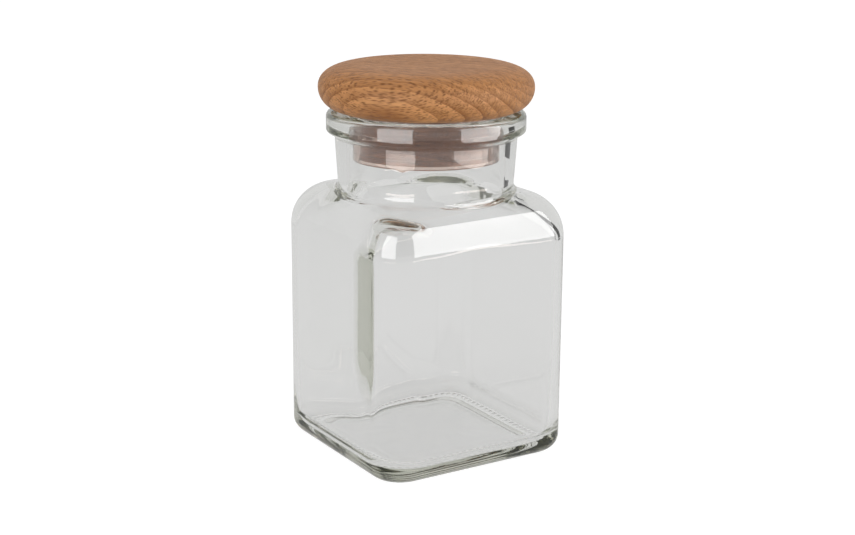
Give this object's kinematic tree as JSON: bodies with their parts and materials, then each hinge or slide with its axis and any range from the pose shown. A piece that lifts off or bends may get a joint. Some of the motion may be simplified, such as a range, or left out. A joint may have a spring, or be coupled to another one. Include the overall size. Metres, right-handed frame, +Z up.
{
  "type": "spice jar",
  "caption": "Square clear glass spice jar with a round beaded neck, closed by a pebble-edged wooden lid whose spigot carries a clear sealing ring.",
  "frame": {"origin": "middle of the base, on the surface that the jar stands on", "axes": "+Z up along the neck's axis, X and Y across the jar's flat sides"},
  "size_m": [0.058, 0.058, 0.1034],
  "materials": {
    "glass": "clear, fire polished",
    "seal": "clear soft silicone",
    "wood": "fine sanded beech, thin oil"
  },
  "bodies": {
    "jar": {"glass_jar": "glass"},
    "seal": {"seal_ring": "seal"},
    "lid": {"wooden_lid": "wood"}
  },
  "joints": [
    {"name": "lid_lift", "type": "slide", "parent": "jar", "child": "seal", "axis": [0, 0, 1], "range_m": [0, 0.06]},
    {"name": "lid_turn", "type": "hinge", "parent": "seal", "child": "lid", "pos_m": [0, 0, 0.0917], "axis": [0, 0, 1], "continuous": true}
  ]
}
